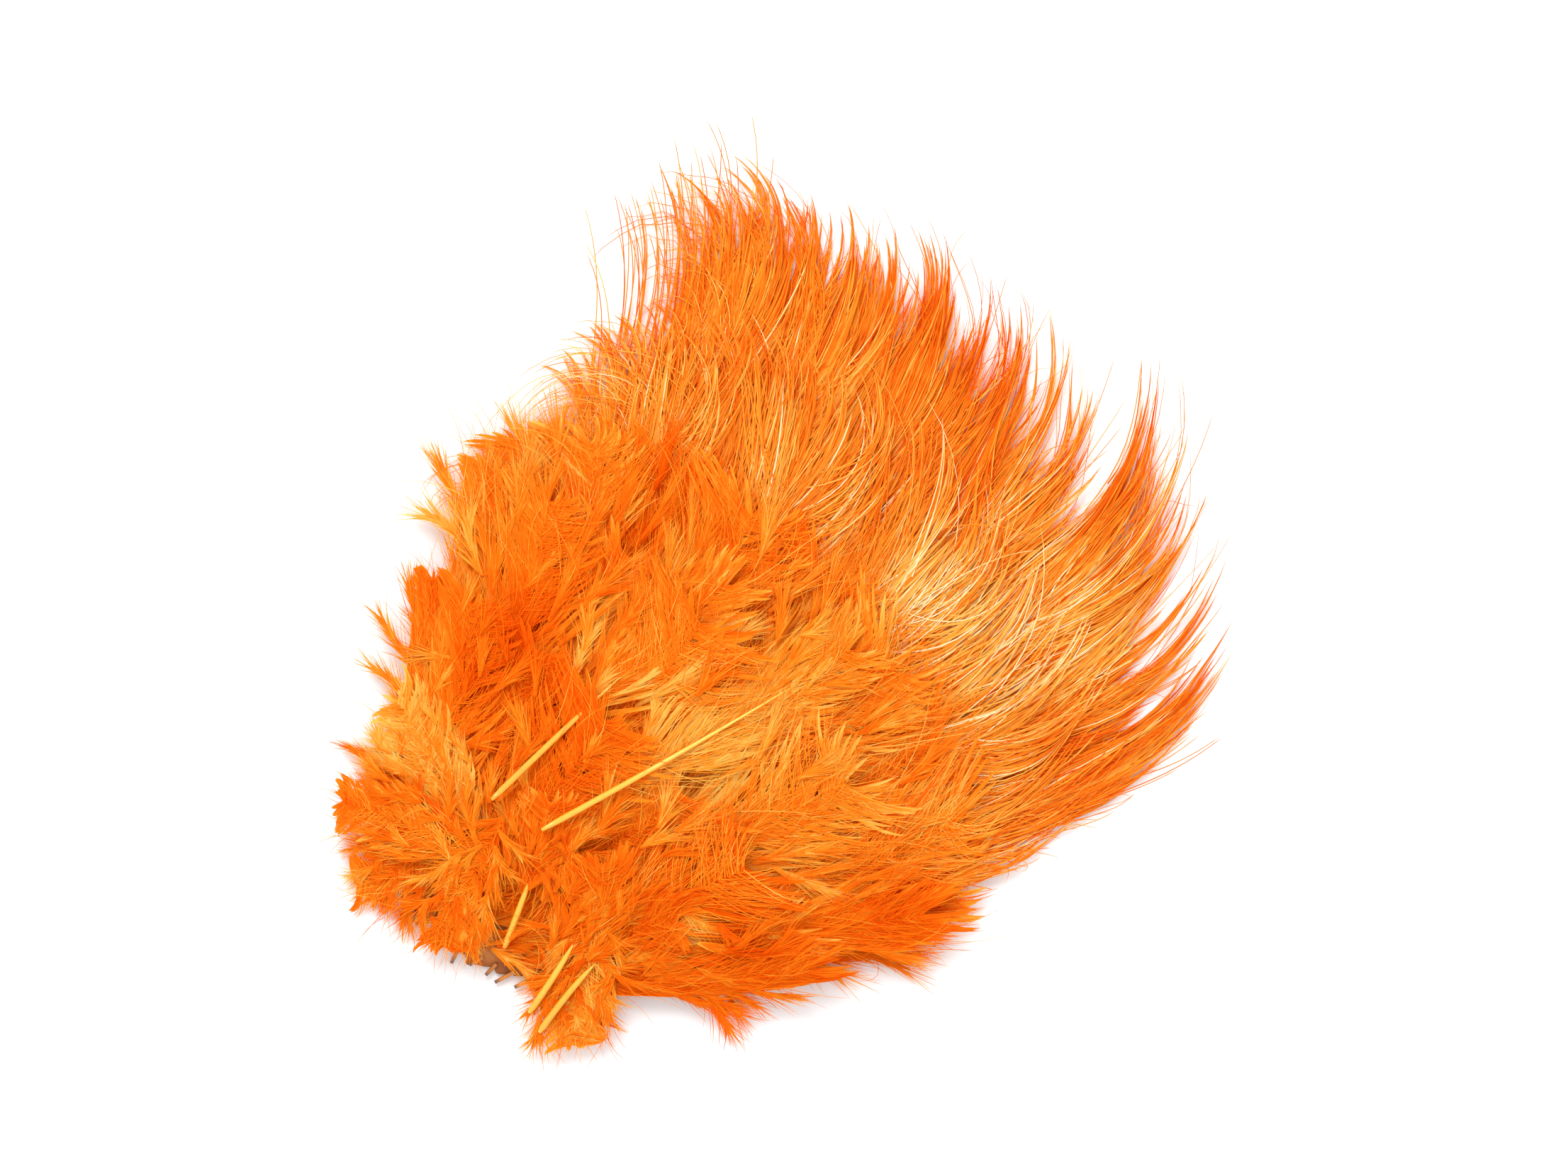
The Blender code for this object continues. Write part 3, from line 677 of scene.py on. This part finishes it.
def plume_paths(place, layer, rng, plan, bare):
    """Downy barbs in plumes: each is a sheet of parallel barbs that leave an axis of its own in order.

    Returns the same as hair_paths, with the plume's number for the lock's, and t running from the
    plume's root to its end.
    """
    plumes = plan.plumes
    s0 = bare + (plan.last - bare) * rng.uniform(0, 1, plumes) ** plan.forward
    a0 = rng.uniform(-PLUME_SPAN, PLUME_SPAN, plumes)
    root = place(a0, s0)
    ahead = place(a0, s0 + 0.02) - root
    first = np.arctan2(ahead[:, 1], ahead[:, 0]) - PLUME_OUTWARD * a0 + rng.normal(0, plan.mess, plumes)
    room = np.linalg.norm(place(a0, 1 + 0 * s0) - root, axis=1)
    shortest = PLUME_SHORTEST * plan.longest
    longest = np.maximum(room - plan.barb / 2, shortest)
    length = np.clip(rng.uniform(*PLUME_LENGTHS, plumes) * plan.longest, shortest, longest)
    curl = rng.normal(PLUME_CURL, plan.curl, plumes)
    opens = rng.uniform(*plan.opens, plumes)
    splay = rng.uniform(*PLUME_SPLAY, plumes)

    plume = np.repeat(np.arange(plumes), plan.barbs)
    count = len(plume)
    order = np.tile(np.arange(plan.barbs), plumes)
    part = PLUME_STEM * (order // 2 + rng.uniform(0, 1, count)) / (plan.barbs / 2)
    turned = first[plume] + curl[plume] * part
    start = root[plume] + heading((first[plume] + turned) / 2) * (length[plume] * part)[:, None]
    hand = np.where(order % 2, 1.0, -1.0)
    leaves = hand * opens[plume] * rng.uniform(*PLUME_LEAVES, count) * (1 - PLUME_NARROWS[0] * part)
    run = plan.barb * rng.uniform(*PLUME_BARBS_VARY, count) * (1 - PLUME_NARROWS[1] * part)
    last = turned + splay[plume] * leaves + rng.normal(0, PLUME_UNRULY, count)
    t = np.linspace(0, 1, DOWN_STATIONS)[None]
    angle = (turned + leaves)[:, None] + (last - turned - leaves)[:, None] * t
    xy = walked(start, angle, run)
    level = rng.uniform(*PLUME_LEVELS, plumes)[plume][:, None] + rng.normal(0, PLUME_BARB_LEVEL, (count, 1))
    level = np.clip(level, 0, 1.1)
    z = height(layer, xy, level) + droop_at_front(xy)
    risen = part[:, None] + (1 - part[:, None]) * t
    z = z + rng.uniform(0, PLUME_ARCH, plumes)[plume][:, None] * np.sin(risen * math.pi)
    z = z + rng.normal(0, PLUME_BARB_LIFT, (count, 1)) * t
    z = z - PLUME_DROOP * smooth((risen - DROOP_FROM) / DROOP_OVER)
    return off_floor(xy, z, rng), risen, level, plume


def stray_paths(place, layer, rng, count, longest):
    """Single downy barbs that lie over the plumes and past the outline."""
    a0 = rng.uniform(-1, 1, count)
    s0 = rng.uniform(*STRAY_ROOTS, count)
    root = place(a0, s0)
    ahead = place(a0, s0 + 0.02) - root
    t = np.linspace(0, 1, STRAY_STATIONS)[None]
    first = np.arctan2(ahead[:, 1], ahead[:, 0]) + rng.normal(0, STRAY_TURN, count)
    angle = first[:, None] + rng.normal(*STRAY_CURL, (count, 1)) * t
    xy = walked(root, angle, longest * rng.uniform(0.5, 1, count))
    z = height(layer, xy, 1.0) + droop_at_front(xy) + STRAY_ARCH * np.sin(t * math.pi)
    return off_floor(xy, z, rng), t, 1 + 0 * t, np.arange(count)


def zone_tone(x, y):
    return sum(z.tone * np.exp(-(((x - z.x) / z.across) ** 2) - ((y - z.y) / z.along) ** 2) for z in ZONES)


def barb_tones(base, paths, t, level, group, rng, spread):
    """A barb's tone along its length, from its feather, its group, itself and its place in the fan, with
    painted shade that darkens barbs lower in their layer, and odd pale and dark barbs that are partly painted
    highlights and shade.
    """
    of_group = rng.normal(0, spread.group, group.max() + 1)[group][:, None]
    count = len(paths)
    zones = zone_tone(paths[..., 0], paths[..., 1]) * smooth(level / ZONES_REACH_DOWN)
    # Pale zones get more odd pale barbs: painted highlights where the hair is glossy.
    pale_share = spread.pale_share + spread.pale * PALER_IN_ZONES * np.maximum(0, zones[:, :1])
    odd = rng.uniform(0, 1, (count, 1))
    of_barb = rng.normal(0, spread.barb, (count, 1))
    # Odd pale barbs, partly painted highlights, and odd dark barbs, partly painted shade between strands.
    of_barb = of_barb + spread.pale * (odd > 1 - pale_share) - spread.dark * (odd < spread.dark_share)
    # Painted shade for depth in the pile: lower barbs darker, higher ones paler.
    painted_depth_shade = PILE_DEPTH_PAINTED_SHADE * (level - EVEN_LEVEL)
    return base + of_group + of_barb + zones + spread.tip * (t - 0.5) + painted_depth_shade


def add_shaft(gathered, place, layer, end, shaft, painted_highlight=0.0):
    """A feather's shaft from its root to this part of its length, its upper side lightened by a painted
    highlight if one is given.
    """
    s = np.linspace(0, end, SHAFT_STATIONS)
    part = s / end
    xy = place(np.zeros(SHAFT_STATIONS), s)
    z = height(layer, xy, np.interp(part, LEVELS_AT, shaft.levels)) + shaft.radius
    if shaft.radius > STIFF_FROM:
        z = np.polyval(np.polyfit(part, z, 2), part)
    path = np.concatenate([xy, z[:, None]], axis=1)
    radii = shaft.radius * (1 - SHAFT_THINS * part**shaft.taper)
    radii = radii * np.minimum(1, ROOT_RADIUS + ROOT_WIDENS * part)
    add_tube(gathered, path, radii, np.interp(part, (0, 1), shaft.tones), painted_highlight)


def add_hair(gathered, place, layer, reach, base, rng, thinning, sweep, flare):
    wisps = int(WISPS * (1 + abs(flare)))
    for (paths, t, level, group), thickness in (
        (hair_paths(place, layer, reach, rng, thinning, sweep), HAIR_WIDTH),
        (wisp_paths(place, layer, reach, rng, wisps, flare), WISP_WIDTH),
    ):
        count = len(paths)
        tones = barb_tones(base, paths, t, level, group, rng, HAIR_TONES)
        widths = thickness * rng.uniform(*WIDTHS_VARY, (count, 1)) * (1 - HAIR_THINS * t**1.6)
        rolls = rng.normal(0, HAIR_ROLL, (count, 1)) + rng.normal(0, HAIR_TWIST, (count, 1)) * t
        add_ribbons(gathered, paths, widths, rolls, tones)


def add_singles(gathered, made, base, rng, spread, width, thins):
    paths, t, level, group = made
    tones = barb_tones(base, paths, t, level, group, rng, spread)
    add_ribbons(gathered, paths, width * (1 - thins * t + 0 * tones), 0 * tones, tones)


def add_down(gathered, place, layer, base, rng, plan, bare=0.0):
    fill = vane_paths(place, layer, rng, plan.fill, bare, FILL_LEVELS)
    coat = vane_paths(place, layer, rng, plan.coat, bare, COAT_LEVELS)
    plumes = plume_paths(place, layer, rng, plan, bare)
    strays = stray_paths(place, layer, rng, plan.strays, plan.longest)
    for made, wide in zip((fill, coat, plumes, strays), DOWN_WIDTHS):
        paths, t, level, group = made
        count, stations = paths.shape[:2]
        tones = barb_tones(base, paths, t, level, group, rng, DOWN_TONES)
        tapered = 1 - DOWN_THINS * np.linspace(0, 1, stations)[None] ** 1.5
        widths = wide * rng.uniform(*WIDTHS_VARY, (count, 1)) * tapered
        add_ribbons(gathered, paths, widths, rng.normal(0, DOWN_ROLL, (count, 1)) + 0 * widths, tones)
        if made is plumes:
            add_barbules(gathered, paths[::WITH_BARBULES], tones[::WITH_BARBULES], rng)
            web = paths[::WITH_WEB, :WEB_STATIONS] - [0, 0, WEB_BELOW]
            widths = WEB_WIDTH * (1 - np.linspace(0, 1, WEB_STATIONS) ** 2) + 0 * web[..., 0]
            add_ribbons(gathered, web, widths, 0 * widths, tones[::WITH_WEB, :WEB_STATIONS] - WEB_DARKER)


def add_row(number, row):
    spacing = 2 / row.count
    half = OVERLAP * spacing
    clumped = row.name == "fringe_feather"
    for k in range(row.count):
        node = f"{row.name}_{k + 1:02d}"
        rng = np.random.default_rng([number, k])
        centre = -1 + (k + 0.5) * spacing
        layer = 2 * number + k % 2

        def place(across, s):
            opened = smooth((s - BARE[row.kind]) / VANE_OPENS_OVER)
            across = centre + half * (BARE_WIDTH + (1 - BARE_WIDTH) * opened) * across
            if clumped:
                phase, width = clump_phase(across)
                pull = CLUMP_PULL * smooth((s - PULL_FROM) / PULL_OVER)
                across = across + pull * width * np.sin(phase) / (2 * math.pi)
            return row_curve(row, across, s)

        def reach(across):
            across = centre + half * across
            dip = CLUMP_DIP * (1 + np.cos(clump_phase(across)[0])) / 2 if clumped else 0
            return np.interp(across, *zip(*row.reach)) * (1 - dip)

        base = row.tone + rng.normal(0, FEATHERS_VARY)
        flare = sum(side * most * smooth((side * centre - at) / over) for side, most, at, over in FLARES)
        if row.kind == "hair":
            gathered = Gathered(SOFT_HAIR)
            thinning = THINNING * smooth((abs(centre) - THINNING_FROM) / THINNING_OVER)
            sweep = SWEEP * smooth(centre / SWEEP_OVER)
            add_hair(gathered, place, layer, reach, base, rng, thinning, sweep, flare)
            add_shaft(gathered, place, layer, IN_HAIR.shown, IN_HAIR)
            if node in SPRAYS:
                spray = spray_paths(layer, SPRAYS[node], rng)
                add_singles(gathered, spray, base - SPRAY_DARKER, rng, DOWN_TONES, HAIR_WIDTH, HAIR_THINS)
            hand_over(gathered, f"{node}_barbs", hair, node)
        else:
            gathered = Gathered(SOFT_DOWN)
            add_down(gathered, place, layer, base, rng, DOWN[row.name])
            if row.name in LONG_STRAYS:
                count = LONG_STRAYS[row.name]
                hairs = wisp_paths(place, layer, reach, rng, count, flare * FLARE_IN_DOWN)
                add_singles(gathered, hairs, base, rng, HAIR_TONES, WISP_WIDTH, WISP_THINS)
            add_shaft(gathered, place, layer, IN_DOWN.shown, IN_DOWN)
            hand_over(gathered, f"{node}_barbs", down, node)


def add_loose(number, loose):
    rng = np.random.default_rng([9, number])
    root, vane_from, tip = (np.array(point, float) for point in (loose.root, loose.vane_from, loose.tip))
    before, beyond = np.linalg.norm(vane_from - root), np.linalg.norm(tip - vane_from)
    vane = before / (before + beyond)
    down_from = vane * loose.shaft.bare
    layer = FIRST_LOOSE + loose.layer

    def place(across, s):
        spine = bent(root, tip, loose.bow, s)
        ahead = unit(bent(root, tip, loose.bow, s + 0.01) - spine)
        opened = FLUFF_WIDTH + (1 - FLUFF_WIDTH) * smooth((s - down_from) / VANE_OPENS_OVER)
        return spine + pairs(ahead[..., 1], -ahead[..., 0]) * (loose.width / 2 * opened * across)[..., None]

    gathered = Gathered(SOFT_DOWN, TOP_SUNK, HOLLOW) if layer == TOP_LAYER else Gathered(SOFT_DOWN, TUFT_SUNK)
    plan = DOWN[loose.name.rsplit("_", 1)[0]]
    add_down(gathered, place, layer, LOOSE_TONE + loose.tone, rng, plan, down_from)
    shown = vane + loose.shaft.shown * (1 - vane)
    add_shaft(gathered, place, layer, shown, loose.shaft, QUILL_PAINTED_HIGHLIGHT)
    hand_over(gathered, f"{loose.name}_barbs", down, loose.name)


def skin_sheet(above):
    """One side of the hide: its outline, its uneven surface and the pits or bumps of the follicles."""
    across = np.linspace(-1, 1, SKIN_ACROSS + 1)[None]
    along = np.linspace(0, 1, SKIN_ALONG + 1)[:, None]
    corner = HIDE_CORNERS * across**4 * (smooth(1 - 5 * along) - smooth(1 - 5 * (1 - along)))
    ragged = 0.5 * np.sin(9 * across + 1) + 0.35 * np.sin(23 * across) + 0.2 * np.sin(47 * across + 2)
    ragged = SKIN_INSET + ragged
    y = FAN_LENGTH * (HIDE_FRONT + (HIDE_BACK - HIDE_FRONT) * along) + corner
    y = y + ragged * (1 - smooth(8 * along)) - ragged * (1 - smooth(8 * (1 - along)))
    share = np.clip(y / FAN_LENGTH, HIDE_FRONT, HIDE_BACK)
    side = SKIN_INSET + 0.4 * np.sin(y / 2.3) + 0.25 * np.sin(y / 0.9 + 1)
    shares = np.linspace(HIDE_FRONT, HIDE_BACK, len(HIDE_HALF_WIDTHS))
    x = middle(share) + across * (np.interp(share, shares, HIDE_HALF_WIDTHS) - side)
    rim = smooth((1 - abs(across)) * RIM_ACROSS) * smooth(along * RIM_ALONG) * smooth((1 - along) * RIM_ALONG)
    row = np.round(y / FOLLICLE_STEP)
    offset = (row % 2) * FOLLICLE_STEP / 2
    dx = (x - offset) - FOLLICLE_STEP * np.round((x - offset) / FOLLICLE_STEP)
    pore = np.exp(-(dx**2 + (y - row * FOLLICLE_STEP) ** 2) / FOLLICLE_RADIUS**2)
    waves = 0.1 * np.sin(x / 3.1 + 0.7) * np.sin(y / 4.3) + 0.05 * np.sin(x / 1.1 + y / 1.7)
    if above:
        z = HIDE_THICKNESS / 2 + (0.1 + 0.5 * rim) * (0.75 + 0.3 * pore) + waves * rim
    else:
        z = HIDE_THICKNESS / 2 - (0.1 + 0.46 * rim) + 0.7 * abs(waves) * rim - 0.02 + 0.12 * pore * rim
    # Darker at the follicles and towards the rim, and lighter where the waves raise the upper side: painted
    # light and shade on its relief.
    tone = 0.62 - 0.3 * pore - 0.28 * (1 - rim) + 1.2 * waves
    return np.stack(np.broadcast_arrays(x, y, z), axis=-1).reshape(-1, 3), (tone + 0 * x).ravel()


def sheet_faces(flip):
    wide = SKIN_ACROSS + 1
    i, j = np.meshgrid(np.arange(SKIN_ACROSS), np.arange(SKIN_ALONG))
    a = (j * wide + i).ravel()
    b, c, d = a + 1, a + wide + 1, a + wide
    faces = np.concatenate([np.stack([a, b, c], 1), np.stack([a, c, d], 1)])
    return faces[:, ::-1] if flip else faces


def rim_faces():
    wide = SKIN_ACROSS + 1
    front = np.arange(wide)
    back = SKIN_ALONG * wide + front[::-1]
    right = np.arange(1, SKIN_ALONG) * wide + SKIN_ACROSS
    left = np.arange(SKIN_ALONG - 1, 0, -1) * wide
    loop = np.concatenate([front, right, back, left])
    after = np.roll(loop, -1)
    above = wide * (SKIN_ALONG + 1)
    first = np.stack([loop, after, after + above], 1)
    second = np.stack([loop, after + above, loop + above], 1)
    return np.concatenate([first, second])


def add_hide():
    rng = np.random.default_rng(77)
    gathered = Gathered(0)
    low, low_tones = skin_sheet(False)
    high, high_tones = skin_sheet(True)
    points = np.concatenate([low, high])
    faces = np.concatenate([sheet_faces(True), sheet_faces(False) + len(low), rim_faces()])
    gathered.add(points, faces, np.concatenate([low_tones, high_tones]), BARBS)
    for x in STUBS:
        turn = rng.normal(0, STUB_TURN)
        start = np.array([x, 1.6 + 0.02 * x * x, HIDE_THICKNESS * 0.8])
        out = np.array([math.sin(turn), -math.cos(turn), rng.uniform(*STUB_RISES)])
        path = start + out * STUB_LENGTH * rng.uniform(*STUB_CUTS) * np.linspace(0, 1, 4)[:, None]
        tone = rng.uniform(*STUB_TONES)
        add_tube(gathered, path, STUB_RADIUS * STUB_PROFILE, np.array([tone, tone, tone, 0.0]))
    hand_over(gathered, "hide_skin", skin, "hide")


def feed(tree, node, inputs):
    """Sets a node's inputs, each to a value or to what feeds it."""
    for name, value in inputs.items():
        if isinstance(value, bpy.types.NodeSocket):
            tree.links.new(value, node.inputs[name])
        else:
            node.inputs[name].default_value = value


def add_node(tree, kind, inputs, **settings):
    node = tree.nodes.new(kind)
    for name, value in settings.items():
        setattr(node, name, value)
    feed(tree, node, inputs)
    return node.outputs


def new_material(name):
    made = bpy.data.materials.new(name)
    made.use_nodes = True
    return made, made.node_tree, made.node_tree.nodes["Principled BSDF"]


def add_noise(tree, vector, scale, detail):
    inputs = {"Vector": vector, "Scale": scale, "Detail": detail}
    return add_node(tree, "ShaderNodeTexNoise", inputs)["Fac"]


def on_object(tree):
    return add_node(tree, "ShaderNodeTexCoord", {})["Object"]


def changed(tree, tone, noise, amount):
    """The tone with this much noise added, centred on it."""
    inputs = {0: noise, 1: amount, 2: tone}
    higher = add_node(tree, "ShaderNodeMath", inputs, operation="MULTIPLY_ADD")[0]
    return add_node(tree, "ShaderNodeMath", {0: higher, 1: amount / 2}, operation="SUBTRACT")[0]


def varied_tone(tree, scale, amount):
    """The tone, with a fine change along each barb."""
    tone = add_node(tree, "ShaderNodeAttribute", {}, attribute_name="tone")["Fac"]
    return changed(tree, tone, add_noise(tree, on_object(tree), scale, 2), amount)


def fibred_tone(tree, tone, amount):
    """The tone with fine fibres that run along each barb."""
    fibre = add_node(tree, "ShaderNodeAttribute", {}, attribute_name="fibre")["Vector"]
    inputs = {0: fibre, 1: FIBRE_SCALE}
    stretched = add_node(tree, "ShaderNodeVectorMath", inputs, operation="MULTIPLY")[0]
    return changed(tree, tone, add_noise(tree, stretched, 1, 2), amount)


def add_ramp(tree, fac, stops):
    ramp = tree.nodes.new("ShaderNodeValToRGB")
    tree.links.new(fac, ramp.inputs["Fac"])
    elements = ramp.color_ramp.elements
    while len(elements) < len(stops):
        elements.new(0.5)
    for element, (at, colour) in zip(elements, stops):
        element.position = at
        element.color = (*colour, 1)
    return ramp.outputs["Color"]


def barb_material(name, stops, fibres, roughness, gloss, through):
    made, tree, shader = new_material(name)
    tone = varied_tone(tree, scale=420, amount=0.2)
    colour = add_ramp(tree, fibred_tone(tree, tone, fibres), stops)
    feed(tree, shader, {
        "Base Color": colour,
        "Roughness": roughness,
        "Specular IOR Level": gloss,
        "Specular Tint": (1.0, 0.55, 0.22, 1),
    })
    translucent = add_node(tree, "ShaderNodeBsdfTranslucent", {"Color": colour})[0]
    inputs = {0: through, 1: shader.outputs[0], 2: translucent}
    mixed = add_node(tree, "ShaderNodeMixShader", inputs)[0]
    feed(tree, tree.nodes["Material Output"], {"Surface": mixed})
    return made


def quill_material():
    made, tree, shader = new_material("quill")
    feed(tree, shader, {
        "Base Color": add_ramp(tree, varied_tone(tree, scale=900, amount=0.15), QUILL_STOPS),
        "Roughness": 0.22,
        "Subsurface Weight": 0.15,
        "Subsurface Radius": (0.001, 0.0005, 0.0002),
        "Coat Weight": 0.6,
    })
    return made


def skin_material():
    """Dry dyed skin: blotches of dye, fine grain and a leathery surface."""
    made, tree, shader = new_material("dyed_skin")
    grain = add_noise(tree, on_object(tree), 1800, 4)
    inputs = {"Strength": 0.5, "Distance": 0.0003, "Height": grain}
    feed(tree, shader, {
        "Base Color": add_ramp(tree, varied_tone(tree, scale=160, amount=0.5), SKIN_STOPS),
        "Roughness": 0.7,
        "Normal": add_node(tree, "ShaderNodeBump", inputs)["Normal"],
    })
    return made


def add_floor():
    bpy.ops.mesh.primitive_plane_add(size=4)
    floor = bpy.context.object
    floor.name = "floor"
    made, tree, shader = new_material("white_paper")
    feed(tree, shader, {"Base Color": (0.95, 0.95, 0.95, 1), "Roughness": 0.9})
    floor.data.materials.append(made)


def add_light(name, place, size, power, look_at=(0, 0, 0.01)):
    data = bpy.data.lights.new(name, "AREA")
    data.shape = "DISK"
    data.size = size
    data.energy = power
    made = in_scene(name, data)
    made.location = place
    made.rotation_euler = (Vector(look_at) - Vector(place)).to_track_quat("-Z", "Y").to_euler()


def add_world():
    world = bpy.data.worlds.new("studio")
    world.use_nodes = True
    sky = {"Color": (1, 1, 1, 1), "Strength": SKY_STRENGTH}
    feed(world.node_tree, world.node_tree.nodes["Background"], sky)
    bpy.context.scene.world = world


def add_camera():
    data = bpy.data.cameras.new("camera")
    data.sensor_width = SENSOR
    data.lens = SENSOR * CAMERA_DISTANCE / PHOTO_WIDTH
    data.clip_end = 20
    made = in_scene("camera", data)
    x, y = (PHOTO_CENTRE + ORIGIN) * MM
    made.location = (x, y, (CAMERA_DISTANCE + PHOTO_LEVEL) * MM)
    made.rotation_euler = (0, 0, CAMERA_TURN)
    bpy.context.scene.camera = made


hair = barb_material("hair_barbs", HAIR_STOPS, fibres=0.2, roughness=0.38, gloss=0.18, through=0.2)
down = barb_material("down_barbs", DOWN_STOPS, fibres=0.6, roughness=0.75, gloss=0.0, through=0.36)
quill = quill_material()
skin = skin_material()

add_hide()
for row_number, feathers in enumerate(ROWS):
    add_row(row_number, feathers)
for loose_number, feather in enumerate(LOOSE):
    add_loose(loose_number, feather)

add_floor()
add_world()
add_light("key", place=(-0.5, 0.25, 0.8), size=0.5, power=5)
add_camera()
bpy.context.scene.view_settings.view_transform = "Standard"
